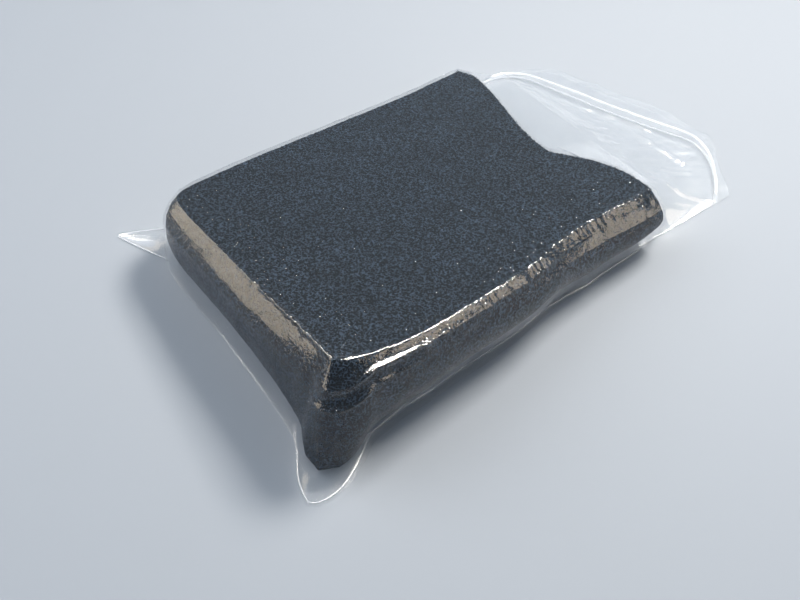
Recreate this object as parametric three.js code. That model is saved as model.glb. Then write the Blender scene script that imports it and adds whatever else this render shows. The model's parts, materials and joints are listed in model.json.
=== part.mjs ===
// Reticulated foam air-filter element packed in a clear press-to-close film bag.
// Millimetres, +Z up, lying on its lower film. +X runs from the closed end to the mouth,
// and +Y from the front, which is the foam's thicker side, to the back.
import * as THREE from "three";

// Foam element
const FOAM_LENGTH = 364; // from the closed end to the cut end's furthest point, along the front side
const FOAM_WIDTH = 250;
const CLOSED_END_SLANT = 12; // how far the closed end draws in towards the back
const HEIGHT_CLOSED_FRONT = 114; // thickness at the four corners of the foam
const HEIGHT_CLOSED_BACK = 70;
const HEIGHT_MOUTH_FRONT = 60;
const HEIGHT_MOUTH_BACK = 40;
const EDGE_HEIGHT = 14; // height at which the long sides are widest
const EDGE_BAND = 3; // flat band below that height
const SQUARENESS_CLOSED = 8; // how square the section's shoulders are at each end
const SQUARENESS_MOUTH = 3.2;
// The S-shaped cut at the mouth end, as [share of the width, depth of the cut]
const MOUTH_CUT = [
  [0, 6], [0.13, 10], [0.27, 20], [0.4, 41.5], [0.52, 37], [0.66, 27], [0.84, 10], [1, 2],
];

// Film bag
const FILM = 0.8; // modelling thickness of one film
const TOUCH = 0.3; // clearance between pieces that touch
const SLACK = 1.5; // room between the foam and the film over it
const WELD_WIDTH = 7; // width of the welded side edges
const BAG_TOE = 14; // how far the lower film runs past the foam's closed end
const EAR_REACH = 30; // how far the bottom corners stick out
// Outline of an ear past its start on the bag's corner, as shares of its reach: [along, outwards]
const EAR_OUTLINE = [[0.5, 0], [0.3, 0.5], [-0.5, 0.75], [-0.9, 0.5], [-0.7, -0.3]];
const HINGE_PAST_FOAM = 18; // from the foam to the line where the upper film starts to lift
const HINGE_HEIGHT = 32;
const MOUTH_MIDWAY = 0.5; // where the upper film sags between the hinge line and the zip
const MOUTH_SAG = 0.62; // share of the drop that it has made there
const LIP = 26; // film past the zip
// Plan curve of the zip, as [distance past the foam, share of the way from front weld to back weld]
const ZIP_LINE = [[70, 0], [104, 0.09], [122, 0.24], [116, 0.4], [97, 0.58], [74, 0.78], [48, 0.93], [34, 1]];
const ZIP_WIDTH = 5; // width of the channel strip
const CHANNEL_WALL = 1.2;
const RIB_HEIGHT = 1.6;
const ZIP_HEIGHT = 3.4; // height of the closed zip over the lower film
const ZIP_END_LENGTH = 9;
const ZIP_END_GAP = 1.8;
const MOUTH_OPEN_SPAN = 0.9; // share of the width that lifts with the upper film

// Mesh steps
const SECTION_STEPS = 22;
const FOAM_STEPS = 14;
const MOUTH_STEPS = 4;
const ZIP_STEPS = 28;

const FLOOR_FILM_TOP = FILM;
const FOAM_BASE = FLOOR_FILM_TOP + TOUCH;
const SIDE_GAP = SLACK + FILM;
const WELD_FRONT = -SIDE_GAP - TOUCH; // inner lines of the two welded edges
const WELD_BACK = FOAM_WIDTH + SIDE_GAP + TOUCH;
const HINGE_X = FOAM_LENGTH + HINGE_PAST_FOAM;

const foamMaterial = () => new THREE.MeshStandardMaterial({ color: 0x24282b, roughness: 0.95 });
const filmMaterial = (color = 0xdfe6ea) =>
  new THREE.MeshStandardMaterial({ color, roughness: 0.12, transparent: true, opacity: 0.35 });

const mix = (a, b, t) => a + (b - a) * t;

// Closed solid from a list of vertices and triangles, turned so that its faces point outwards.
function solid(points, triangles) {
  let volume = 0;
  for (const [a, b, c] of triangles) {
    const [p, q, r] = [points[a], points[b], points[c]];
    volume += p[0] * (q[1] * r[2] - q[2] * r[1])
      - p[1] * (q[0] * r[2] - q[2] * r[0])
      + p[2] * (q[0] * r[1] - q[1] * r[0]);
  }
  const turned = volume > 0 ? triangles : triangles.map(([a, b, c]) => [a, c, b]);
  const geometry = new THREE.BufferGeometry();
  geometry.setAttribute("position", new THREE.Float32BufferAttribute(points.flat(), 3));
  geometry.setIndex(turned.flat());
  geometry.computeVertexNormals();
  return geometry;
}

// Solid between two grids of points, row by row, joined along their four borders.
function betweenGrids(outer, inner) {
  const rows = outer.length;
  const columns = outer[0].length;
  const points = [...outer.flat(), ...inner.flat()];
  const lower = rows * columns;
  const triangles = [];
  const quad = (a, b, c, d) => triangles.push([a, b, c], [a, c, d]);
  for (let i = 0; i + 1 < rows; i++) {
    for (let j = 0; j + 1 < columns; j++) {
      const k = i * columns + j;
      quad(k, k + columns, k + columns + 1, k + 1);
      quad(lower + k, lower + k + 1, lower + k + columns + 1, lower + k + columns);
    }
  }
  for (let i = 0; i + 1 < rows; i++) {
    const near = i * columns;
    const far = near + columns - 1;
    quad(near, lower + near, lower + near + columns, near + columns);
    quad(far + columns, lower + far + columns, lower + far, far);
  }
  for (let j = 0; j + 1 < columns; j++) {
    const last = (rows - 1) * columns + j;
    quad(j + 1, lower + j + 1, lower + j, j);
    quad(last, lower + last, lower + last + 1, last + 1);
  }
  return solid(points, triangles);
}

// Flat sheet of the given plan outline, from one height to another.
function sheet(outline, low, high) {
  const shape = new THREE.Shape(outline.map(([x, y]) => new THREE.Vector2(x, y)));
  const geometry = new THREE.ExtrudeGeometry(shape, { depth: high - low, bevelEnabled: false });
  geometry.translate(0, 0, low);
  return geometry;
}

// Smooth curve through [a, b] pairs, read at a share of its length or at a value of one of the pair.
function curveThrough(pairs) {
  return new THREE.CatmullRomCurve3(pairs.map(([a, b]) => new THREE.Vector3(a, b, 0)), false, "centripetal");
}

const mouthCut = curveThrough(MOUTH_CUT).getPoints(120);

function mouthEnd(y) {
  const share = THREE.MathUtils.clamp(y / FOAM_WIDTH, 0, 1);
  let k = 1;
  while (k < mouthCut.length - 1 && mouthCut[k].x < share) k++;
  const [p, q] = [mouthCut[k - 1], mouthCut[k]];
  return FOAM_LENGTH - mix(p.y, q.y, (share - p.x) / (q.x - p.x));
}

function closedEnd(y) {
  return CLOSED_END_SLANT * y / FOAM_WIDTH;
}

// Height of the foam's flat top before its shoulders are rounded.
function topHeight(along, y) {
  const across = THREE.MathUtils.clamp(y / FOAM_WIDTH, 0, 1);
  const front = mix(HEIGHT_CLOSED_FRONT, HEIGHT_MOUTH_FRONT, along);
  const back = mix(HEIGHT_CLOSED_BACK, HEIGHT_MOUTH_BACK, along);
  return mix(front, back, across);
}

// Point j of a rounded section, out by a margin: y, and how much of the shoulder's height it has.
function sectionPoint(j, along, margin) {
  const angle = Math.PI * (1 - j / SECTION_STEPS);
  const squareness = mix(SQUARENESS_CLOSED, SQUARENESS_MOUTH, along);
  const half = FOAM_WIDTH / 2 + margin;
  const side = Math.sign(Math.cos(angle)) * Math.abs(Math.cos(angle)) ** (2 / squareness);
  return { y: FOAM_WIDTH / 2 + half * side, rise: Math.sin(angle) ** (2 / squareness) };
}

function foamElement() {
  const top = [];
  const base = [];
  for (let i = 0; i <= FOAM_STEPS; i++) {
    const along = i / FOAM_STEPS;
    const upper = [];
    const under = [];
    for (let j = 0; j <= SECTION_STEPS; j++) {
      const { y, rise } = sectionPoint(j, along, 0);
      const x = mix(closedEnd(y), mouthEnd(y), along);
      upper.push([x, y, mix(EDGE_HEIGHT, topHeight(along, y), rise)]);
      under.push([x, y, mix(EDGE_HEIGHT - EDGE_BAND, FOAM_BASE, rise)]);
    }
    top.push(upper);
    base.push(under);
  }
  return betweenGrids(top, base);
}

// One row of film over the foam: down each side to the welds.
function filmRow(along, xAt, heightAt, margin) {
  const row = [];
  for (let j = 0; j <= SECTION_STEPS; j++) {
    const { y, rise } = sectionPoint(j, along, margin);
    row.push([xAt(y), y, mix(EDGE_HEIGHT, heightAt(y) + margin, rise)]);
  }
  const foot = FLOOR_FILM_TOP + TOUCH;
  const [first, last] = [row[0], row[SECTION_STEPS]];
  return [[first[0], first[1], foot], ...row, [last[0], last[1], foot]];
}

function filmOver(margin) {
  const rows = [];
  for (let i = 0; i <= FOAM_STEPS; i++) {
    const along = i / FOAM_STEPS;
    const xAt = (y) => mix(closedEnd(y), mouthEnd(y) + SLACK, along);
    rows.push(filmRow(along, xAt, (y) => topHeight(along, y), margin));
  }
  for (let i = 1; i <= MOUTH_STEPS; i++) {
    const past = i / MOUTH_STEPS;
    const xAt = (y) => mix(mouthEnd(y) + SLACK, HINGE_X, past);
    rows.push(filmRow(1, xAt, (y) => mix(topHeight(1, y), HINGE_HEIGHT, past), margin));
  }
  return rows;
}

function bagUpperFilm() {
  return betweenGrids(filmOver(SLACK + FILM), filmOver(SLACK));
}

// Film over the closed end: one wall with the outline of the section, from the lower film to the top.
function bagEndFilm() {
  const wall = (offset) => {
    const rows = [[], []];
    for (const [x, y, z] of filmOver(SLACK + FILM)[0]) {
      rows[0].push([x + offset, y, z]);
      rows[1].push([x + offset, y, FLOOR_FILM_TOP + TOUCH / 2]);
    }
    rows[0][0][2] = rows[0][1][2];
    rows[0][rows[0].length - 1][2] = rows[0][rows[0].length - 2][2];
    return rows.map((row) => row.slice(1, -1));
  };
  return betweenGrids(wall(-TOUCH - FILM), wall(-TOUCH));
}

const zipCurve = new THREE.CatmullRomCurve3(
  ZIP_LINE.map(([past, share]) => new THREE.Vector3(FOAM_LENGTH + past, mix(WELD_FRONT, WELD_BACK, share), 0)),
  false,
  "centripetal",
);

// Plan line beside the zip, at a distance towards the mouth's edge.
function besideZip(distance, from = 0, to = 1) {
  const line = [];
  for (let k = 0; k <= ZIP_STEPS; k++) {
    const t = mix(from, to, k / ZIP_STEPS);
    const point = zipCurve.getPoint(t);
    const tangent = zipCurve.getTangent(t);
    line.push([point.x + tangent.y * distance, point.y - tangent.x * distance]);
  }
  return line;
}

// Plan line of the mouth's edge, kept within the bag's sides.
function lipLine(from = 0, to = 1) {
  const inside = (y) => THREE.MathUtils.clamp(y, WELD_FRONT - WELD_WIDTH, WELD_BACK + WELD_WIDTH);
  return besideZip(LIP, from, to).map(([x, y]) => [x, inside(y)]);
}

// Plan outline of the bag lying flat, from the closed end's toe to the lip.
function bagLowerFilm() {
  const outline = [
    [-BAG_TOE, WELD_FRONT - WELD_WIDTH],
    ...lipLine(),
    [CLOSED_END_SLANT - BAG_TOE, WELD_BACK + WELD_WIDTH],
  ];
  return sheet(outline, 0, FILM);
}

function sideWeld(weldY, outwards, mouthX, closedX) {
  const outer = weldY + outwards * WELD_WIDTH;
  const low = FLOOR_FILM_TOP + TOUCH;
  return sheet([[closedX, weldY], [mouthX, weldY], [mouthX, outer], [closedX, outer]], low, low + FILM);
}

// Bottom corner of the bag, flattened where the foam doesn't fill it, with a folded-over tip.
function cornerEar(closedX, weldY, outwards) {
  const outer = weldY + outwards * (WELD_WIDTH + TOUCH);
  const reach = outwards * EAR_REACH;
  const toe = closedX - BAG_TOE - TOUCH;
  const slant = CLOSED_END_SLANT / (WELD_BACK - WELD_FRONT + 2 * WELD_WIDTH);
  const beyond = EAR_OUTLINE.map(([along, out]) => [toe + EAR_REACH * along, outer + reach * out]);
  return sheet([[toe - slant * reach, outer - reach], [toe, outer], ...beyond], 0, FILM * 2);
}

// Film folded in at one side of the mouth, standing between the weld and the lifting film.
function mouthSideFold(y, zipX) {
  const start = HINGE_X + TOUCH;
  const foot = FLOOR_FILM_TOP + TOUCH;
  const outline = [[start, foot], [zipX, foot], [zipX, foot + FILM], [start, EDGE_HEIGHT]];
  const shape = new THREE.Shape(outline.map(([x, z]) => new THREE.Vector2(x, z)));
  const geometry = new THREE.ExtrudeGeometry(shape, { depth: FILM, bevelEnabled: false });
  geometry.rotateX(Math.PI / 2);
  geometry.translate(0, y, 0);
  return geometry;
}

const LIFT_FROM = (1 - MOUTH_OPEN_SPAN) / 2;
const LIFT_TO = 1 - LIFT_FROM;
const UPPER_AT_ZIP = FLOOR_FILM_TOP + TOUCH + ZIP_HEIGHT; // underside of the upper film at the zip

// Upper film past the foam, from the hinge line over the zip to its lip.
function mouthUpperFilm() {
  const zip = besideZip(0, LIFT_FROM, LIFT_TO);
  const lip = lipLine(LIFT_FROM, LIFT_TO);
  const sagHeight = mix(HINGE_HEIGHT, UPPER_AT_ZIP, MOUTH_SAG);
  const rows = (thickness) => [
    zip.map(([, y]) => [HINGE_X + TOUCH, y, HINGE_HEIGHT + thickness]),
    zip.map(([x, y]) => [mix(HINGE_X, x, MOUTH_MIDWAY), y, sagHeight + thickness]),
    zip.map(([x, y]) => [x - ZIP_WIDTH, y, UPPER_AT_ZIP + thickness]),
    zip.map(([x, y]) => [x + ZIP_WIDTH, y, UPPER_AT_ZIP + thickness]),
    lip.map(([x, y]) => [x, y, UPPER_AT_ZIP + thickness]),
  ];
  return betweenGrids(rows(FILM), rows(0));
}

// Strip swept along the zip: the profile is a list of [distance across, height] corners.
function alongZip(profile, from, to) {
  const lines = profile.map(([distance]) => besideZip(distance, from, to));
  const points = [];
  const triangles = [];
  const corners = profile.length;
  for (let k = 0; k <= ZIP_STEPS; k++) {
    profile.forEach(([, height], c) => points.push([...lines[c][k], height]));
  }
  for (let k = 0; k < ZIP_STEPS; k++) {
    for (let c = 0; c < corners; c++) {
      const [a, b] = [k * corners + c, k * corners + (c + 1) % corners];
      triangles.push([a, a + corners, b + corners], [a, b + corners, b]);
    }
  }
  const contour = profile.map(([distance, height]) => new THREE.Vector2(distance, height));
  const last = ZIP_STEPS * corners;
  for (const [a, b, c] of THREE.ShapeUtils.triangulateShape(contour, [])) {
    triangles.push([a, b, c], [last + a, last + c, last + b]);
  }
  return solid(points, triangles);
}

function zipRib() {
  const half = ZIP_WIDTH / 2 - CHANNEL_WALL - TOUCH;
  const top = UPPER_AT_ZIP - TOUCH;
  const shoulder = top - RIB_HEIGHT / 3;
  const profile = [
    [-half, top - RIB_HEIGHT],
    [half, top - RIB_HEIGHT],
    [half, shoulder],
    [ZIP_WIDTH / 2, shoulder],
    [ZIP_WIDTH / 2, top],
    [-ZIP_WIDTH / 2, top],
    [-ZIP_WIDTH / 2, shoulder],
    [-half, shoulder],
  ];
  return alongZip(profile, LIFT_FROM, LIFT_TO);
}

function zipChannel() {
  const half = ZIP_WIDTH / 2;
  const bore = half - CHANNEL_WALL;
  const low = FLOOR_FILM_TOP + TOUCH;
  const floor = low + FILM;
  const rim = UPPER_AT_ZIP - TOUCH - RIB_HEIGHT / 3 - TOUCH;
  const profile = [
    [-half, low], [half, low], [half, rim], [bore, rim],
    [bore, floor], [-bore, floor], [-bore, rim], [-half, rim],
  ];
  return alongZip(profile, LIFT_FROM, LIFT_TO);
}

// End of the zip, crushed flat and fused where it runs into the welded edge.
function zipEndWeld(from, to) {
  const half = ZIP_WIDTH / 2;
  const low = FLOOR_FILM_TOP + TOUCH;
  const high = low + ZIP_HEIGHT / 2;
  return alongZip([[-half, low], [half, low], [half, high], [-half, high]], from, to);
}

const group = new THREE.Group();

function add(name, geometry, material) {
  const mesh = new THREE.Mesh(geometry, material);
  mesh.name = name;
  group.add(mesh);
}

const frontZip = zipCurve.getPoint(0);
const backZip = zipCurve.getPoint(1);
const endGap = ZIP_END_GAP / zipCurve.getLength();
const endShare = ZIP_END_LENGTH / zipCurve.getLength();
const milky = () => filmMaterial(0xffffff);

add("foam_element", foamElement(), foamMaterial());
add("bag_upper_film", bagUpperFilm(), filmMaterial());
add("bag_end_film", bagEndFilm(), filmMaterial());
add("bag_lower_film", bagLowerFilm(), filmMaterial());
add("side_weld_front", sideWeld(WELD_FRONT, -1, frontZip.x, 0), milky());
add("side_weld_back", sideWeld(WELD_BACK, 1, backZip.x, CLOSED_END_SLANT), milky());
add("corner_ear_front", cornerEar(0, WELD_FRONT, -1), filmMaterial());
add("corner_ear_back", cornerEar(CLOSED_END_SLANT, WELD_BACK, 1), filmMaterial());
const frontFold = mouthSideFold(WELD_FRONT + TOUCH + FILM, frontZip.x - ZIP_END_LENGTH);
const backFold = mouthSideFold(WELD_BACK - TOUCH, backZip.x - ZIP_END_LENGTH);
add("mouth_side_fold_front", frontFold, filmMaterial());
add("mouth_side_fold_back", backFold, filmMaterial());
add("mouth_upper_film", mouthUpperFilm(), filmMaterial());
add("zip_rib", zipRib(), milky());
add("zip_channel", zipChannel(), milky());
add("zip_end_weld_front", zipEndWeld(LIFT_FROM - endGap - endShare, LIFT_FROM - endGap), milky());
add("zip_end_weld_back", zipEndWeld(LIFT_TO + endGap, LIFT_TO + endGap + endShare), milky());

// The origin is the middle of the outline on the surface that the bag lies on.
const box = new THREE.Box3().setFromObject(group);
for (const mesh of group.children) {
  mesh.geometry.translate(-(box.min.x + box.max.x) / 2, -(box.min.y + box.max.y) / 2, -box.min.z);
}

export default group;
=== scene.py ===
"""Looks of a foam air-filter element packed in a clear press-to-close film bag, around its CAD frame."""

import json
import math

import bmesh
import bpy
import numpy as np
from mathutils import Matrix, Vector, noise


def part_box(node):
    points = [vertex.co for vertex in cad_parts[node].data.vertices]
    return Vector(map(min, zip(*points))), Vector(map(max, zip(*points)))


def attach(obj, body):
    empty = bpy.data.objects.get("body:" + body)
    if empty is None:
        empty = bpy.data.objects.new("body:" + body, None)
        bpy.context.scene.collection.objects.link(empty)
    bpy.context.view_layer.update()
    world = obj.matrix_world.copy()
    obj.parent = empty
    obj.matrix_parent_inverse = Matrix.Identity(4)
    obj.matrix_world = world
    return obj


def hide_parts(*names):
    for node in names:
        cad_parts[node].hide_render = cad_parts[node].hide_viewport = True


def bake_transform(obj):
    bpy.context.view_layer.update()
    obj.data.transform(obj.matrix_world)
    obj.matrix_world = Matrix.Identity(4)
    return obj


bl_info = {
    "name": "Bagged Foam Filter",
    "version": (1, 0, 0),
    "blender": (4, 5, 0),
    "location": "View3D > Sidebar > Bagged Filter",
    "description": "Builds a reticulated foam filter pad and the press-to-close bag round it",
    "category": "Add Mesh",
}

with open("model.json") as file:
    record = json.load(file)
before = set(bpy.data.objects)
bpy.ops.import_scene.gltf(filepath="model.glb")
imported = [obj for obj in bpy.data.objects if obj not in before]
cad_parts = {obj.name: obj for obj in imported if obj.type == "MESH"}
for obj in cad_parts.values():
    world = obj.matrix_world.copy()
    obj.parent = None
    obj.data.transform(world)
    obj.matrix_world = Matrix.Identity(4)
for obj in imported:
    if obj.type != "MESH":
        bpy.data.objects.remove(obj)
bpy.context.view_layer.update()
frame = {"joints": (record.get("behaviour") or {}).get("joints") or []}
PAD_LOW, PAD_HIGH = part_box("foam_element")
HINGE = next(j for j in frame["joints"] if j["name"] == "mouth_open")
HINGE_AT = Vector(HINGE["pos_m"])

MM = 0.001
PAD_CORNER = (-176.0, -124.0)  # plan place of the pad's low corner, in the drawing's millimetres


def plan(x, y, z):
    """A point of the drawing, in millimetres, as a point of the frame, in metres."""
    return (PAD_LOW.x + (x - PAD_CORNER[0]) * MM, PAD_LOW.y + (y - PAD_CORNER[1]) * MM, z * MM)


def placed(points):
    """Points of the drawing, in millimetres, as an array in the frame, in metres."""
    p = np.asarray(points, float)
    shift = np.array([PAD_LOW.x - PAD_CORNER[0] * MM, PAD_LOW.y - PAD_CORNER[1] * MM, 0.0])
    return p * MM + shift


HINGE_X = (HINGE_AT.x - PAD_LOW.x) / MM + PAD_CORNER[0]
HINGE_Z = HINGE_AT.z / MM


# ---------------------------------------------------------------- small tools

def smooth(t):
    t = np.clip(t, 0.0, 1.0)
    return t * t * (3 - 2 * t)


SPLINE_STEPS = 24  # straight steps from one point of a spline to the next, before it is evened out


def catmull_rom(a, b, c, d, t):
    """The point at share t of the way from b to c, on a smooth curve that also passes a and d."""
    return 0.5 * (2 * b + (c - a) * t + (2 * a - 5 * b + 4 * c - d) * t * t
                  + (3 * b - a - 3 * c + d) * t ** 3)


def lengths_along(points):
    """Distance of each point from the first, along the line."""
    return np.concatenate([[0], np.cumsum(np.linalg.norm(np.diff(points, axis=0), axis=1))])


def resampled(points, count):
    """Evenly spaced points on a line."""
    length = lengths_along(points)
    at = np.linspace(0, length[-1], count)
    return np.stack([np.interp(at, length, points[:, k]) for k in range(points.shape[1])], axis=1)


def spline(points, count):
    """Evenly spaced points on a Catmull-Rom curve through the given ones."""
    p = np.asarray(points, float)
    q = np.vstack([[2 * p[0] - p[1]], p, [2 * p[-1] - p[-2]]])
    dense = [catmull_rom(*q[i - 1:i + 3], k / SPLINE_STEPS)
             for i in range(1, len(q) - 2) for k in range(SPLINE_STEPS)]
    return resampled(np.array(dense + [p[-1]]), count)


def evened(rows, passes):
    """Rows of numbers, each averaged with its two neighbours the given number of times."""
    for _ in range(passes):
        around = np.concatenate([rows[:1], rows, rows[-1:]])
        rows = (around[:-2] + around[1:-1] + around[2:]) / 3
    return rows


def waves(points, scale, seed, octaves=1):
    """Smooth noise, about -1 to 1, at each point, with features of the given size in millimetres."""
    total = np.zeros(len(points))
    weight, size = 1.0, scale
    for octave in range(octaves):
        shift = Vector((seed * 17.3 + octave * 5.1, seed * 7.7, seed * 3.9))
        for i, p in enumerate(points):
            total[i] += weight * noise.noise(Vector(p) / size + shift)
        weight, size = weight * 0.5, size * 0.5
    return total


def grid_faces(rows, columns, offset=0):
    return [
        (offset + i * columns + j, offset + (i + 1) * columns + j,
         offset + (i + 1) * columns + j + 1, offset + i * columns + j + 1)
        for i in range(rows - 1) for j in range(columns - 1)
    ]


def mesh_object(name, points, faces, material, smooth_faces=True):
    """A new mesh object at the origin, from points in metres."""
    mesh = bpy.data.meshes.new(name)
    mesh.from_pydata([tuple(p) for p in points], [], faces)
    mesh.validate()
    mesh.polygons.foreach_set("use_smooth", [smooth_faces] * len(mesh.polygons))
    if material is not None:
        mesh.materials.append(material)
    obj = bpy.data.objects.new(name, mesh)
    bpy.context.scene.collection.objects.link(obj)
    return obj


def applied(obj):
    """The object with its modifiers made real."""
    depsgraph = bpy.context.evaluated_depsgraph_get()
    mesh = bpy.data.meshes.new_from_object(obj.evaluated_get(depsgraph))
    obj.modifiers.clear()
    old = obj.data
    obj.data = mesh
    bpy.data.meshes.remove(old)
    return obj


def face_up(obj):
    """A sheet with its faces upwards or outwards, whichever way they were."""
    mesh = obj.data
    if sum(f.normal.z * f.area for f in mesh.polygons) < 0:
        mesh.flip_normals()
    mesh.polygons.foreach_set("use_smooth", [True] * len(mesh.polygons))
    return obj


def weld_and_turn_out(obj, distance=1e-6):
    """The object with its doubles merged and its faces outwards."""
    bm = bmesh.new()
    bm.from_mesh(obj.data)
    bmesh.ops.remove_doubles(bm, verts=bm.verts, dist=distance)
    bmesh.ops.recalc_face_normals(bm, faces=bm.faces)
    bm.to_mesh(obj.data)
    bm.free()
    return obj


# ---------------------------------------------------------------- sizes a user would change

class FoamSizes(bpy.types.PropertyGroup):
    cell: bpy.props.FloatProperty(
        name="Cell", description="Size of one cell of the foam", default=0.0023, unit="LENGTH")
    grain: bpy.props.FloatProperty(
        name="Grain", description="Step of the foam's surface mesh", default=0.0014, unit="LENGTH")
    roughness_depth: bpy.props.FloatProperty(
        name="Surface depth", description="How deep the open cells are at the surface",
        default=0.0009, unit="LENGTH")
    colour: bpy.props.FloatVectorProperty(
        name="Foam colour", description="Colour of the struts",
        default=(0.056, 0.084, 0.122), size=3, subtype="COLOR")
    # Painted shade: the near-black colour shown deep in the open cells, where little light reaches.
    pore_shade_colour: bpy.props.FloatVectorProperty(
        name="Pore colour", description="Colour deep in the cells",
        default=(0.0010, 0.0015, 0.0022), size=3, subtype="COLOR")
    strut_count: bpy.props.IntProperty(
        name="Cut struts", description="Loose strut ends along the cut edge", default=3600)


class FilmSizes(bpy.types.PropertyGroup):
    haze: bpy.props.FloatProperty(
        name="Haze", description="Milkiness of the film", default=0.006, subtype="FACTOR")
    colour: bpy.props.FloatVectorProperty(
        name="Film colour", description="Colour of the film's haze",
        default=(0.80, 0.86, 0.92), size=3, subtype="COLOR")


class StageSizes(bpy.types.PropertyGroup):
    floor: bpy.props.FloatVectorProperty(
        name="Floor colour", description="Colour of the floor",
        default=(0.44, 0.46, 0.49), size=3, subtype="COLOR")
    key_power: bpy.props.FloatProperty(
        name="Key light", description="Power of the main lamp in watts", default=26.0)


# ---------------------------------------------------------------- the pad's shape

TOP_SLOPE = (-0.118, -0.120, 67.5)  # rise per mm of x, rise per mm of y, height at the middle


def top_height(x, y):
    return TOP_SLOPE[0] * x + TOP_SLOPE[1] * y + TOP_SLOPE[2]


# The crease round the pad's top, from the mouth's front corner clockwise, as plan points.
FRONT_EDGE = [(175, -117), (150, -119), (108, -118), (57, -122), (11, -132), (-54, -137), (-104, -139),
              (-136, -135), (-155, -130)]
CLOSED_EDGE = [(-167, -123), (-166.5, -102), (-165.5, -81), (-165, -42), (-164, 0), (-162, 50), (-160, 88),
               (-155, 108)]
BACK_EDGE = [(-143, 118), (-126, 121), (-73, 125), (14, 128), (101, 131), (155, 136)]
MOUTH_EDGE = [(180, 138), (186, 122), (183, 104), (177, 84), (169, 61), (161, 40), (155, 23), (151, 7),
              (147.5, -10), (147.5, -24), (156.5, -38), (167, -55), (174, -74), (177, -92), (175, -117)]
SIDES = (FRONT_EDGE, CLOSED_EDGE, BACK_EDGE)  # the sides that the film covers

# Film round the pad, from its top crease to the floor, as (outwards in mm, share of the height) at the
# levels below the top crease: a face, a crease, a face, a crease, shoulder, bulge, waist and foot. A place
# is the side's number and the share of that side: front 0, closed end 1, back 2.
PROFILES = [
    (0.00, [(2.4, 0.985), (8, 0.910), (12, 0.85), (16, 0.78), (20, 0.66), (21, 0.50), (16, 0.22), (9, 0)]),
    (0.23, [(2.4, 0.9865), (8, 0.915), (12, 0.86), (16, 0.79), (20, 0.66), (21, 0.50), (17, 0.22), (11, 0)]),
    (0.43, [(2.4, 0.9875), (7, 0.930), (9, 0.87), (13, 0.80), (16, 0.68), (16, 0.50), (8, 0.20), (0, 0)]),
    (0.66, [(2.4, 0.989), (7, 0.945), (9, 0.89), (10, 0.82), (13, 0.68), (12, 0.48), (3, 0.18), (-7, 0)]),
    (0.84, [(2.4, 0.990), (7, 0.950), (8, 0.89), (10, 0.83), (11, 0.69), (11, 0.48), (3, 0.16), (-9, 0)]),
    (0.93, [(2.6, 0.990), (9, 0.935), (10, 0.86), (12, 0.80), (14, 0.66), (15, 0.46), (9, 0.15), (0, 0)]),
    (0.975, [(2.8, 0.989), (13, 0.865), (15, 0.78), (20, 0.71), (23, 0.56), (27, 0.36), (27, 0.14), (24, 0)]),
    (1.00, [(2.8, 0.989), (15, 0.820), (18, 0.74), (23, 0.675), (27, 0.52), (32, 0.34), (36, 0.14), (36, 0)]),
    (1.035, [(4, 0.940), (10, 0.800), (12, 0.72), (14, 0.660), (19, 0.50), (24, 0.32), (29, 0.13), (31, 0)]),
    (1.08, [(4, 0.950), (8, 0.890), (11, 0.82), (14, 0.740), (18, 0.53), (21, 0.34), (23, 0.13), (24, 0)]),
    (1.25, [(4, 0.955), (8, 0.900), (12, 0.84), (15, 0.760), (18, 0.58), (19, 0.37), (20, 0.14), (20, 0)]),
    (1.55, [(4, 0.955), (8, 0.900), (12, 0.84), (15, 0.760), (17, 0.58), (17, 0.37), (17, 0.14), (16, 0)]),
    (1.90, [(4, 0.950), (8, 0.890), (11, 0.82), (14, 0.740), (16, 0.55), (17, 0.35), (18, 0.14), (18, 0)]),
    (2.00, [(5, 0.930), (9, 0.850), (12, 0.77), (14, 0.670), (17, 0.50), (18, 0.32), (18, 0.14), (17, 0)]),
    (2.12, [(3, 0.920), (4, 0.860), (5, 0.78), (7, 0.700), (9, 0.50), (10, 0.32), (11, 0.13), (11, 0)]),
    (2.30, [(2, 0.920), (4, 0.850), (5, 0.77), (6, 0.680), (8, 0.48), (8, 0.30), (7, 0.12), (6, 0)]),
    (3.00, [(2, 0.920), (4, 0.850), (5, 0.77), (6, 0.680), (8, 0.48), (8, 0.30), (7, 0.12), (6, 0)]),
]
TOP_CREASE = (0, 1)  # the first level, the same all round
# The pad's cut end, the same way, and how far the pad draws in from the film at each level and place.
MOUTH_PROFILE = [(0, 1), (0.3, 0.95), (0.5, 0.9), (0.8, 0.83), (1, 0.75), (1, 0.6), (0.5, 0.4), (-1, 0.15),
                 (-3, 0)]
TUCK = (0, 0, 0.3, 0.3, 0.6, 0.6, 2, 8, 22)
TUCK_AT = [(0, 0.5), (0.6, 0.6), (0.95, 0.35), (1.0, 0.1), (1.1, 0.5), (1.4, 1.0), (1.8, 0.9), (2.0, 0.7),
           (2.3, 0.4), (3, 0.4)]
# The bag's bottom corners: place, half width as a share of a side, reach in mm (x, y, z) of the tip past
# the foot.
EARS = [(0.998, 0.034, (-18.0, -15.0, 0.0)), (1.990, 0.055, (-38.0, 38.0, 3.0))]
EAR_WAIST_DIP = 0.06  # how far the waist comes down above an ear, as a share of the height
EAR_WAIST_REACH = 0.3  # how much of an ear's reach the waist takes
EAR_TAPER = 0.9  # below 1 an ear's sides bow outwards
CREASES = (2, 4, 6)  # which of the film's levels are creases, counting the two inside the top edge
INSIDE = (-14.0, -4.0)  # the film's levels inside the top edge, in mm
FILM_STEPS = [4, 6, 6, 6, 6, 6, 8, 6, 6, 6]  # rows of the film from each level to the next
FOAM_STEPS = [3, 3, 3, 3, 3, 4, 5, 5]
FOAM_THINNING = 3  # the pad has one column where the film has three
CUT_BLEND = 8  # the cut end turns into the sides over one part in this many of its length


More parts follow.
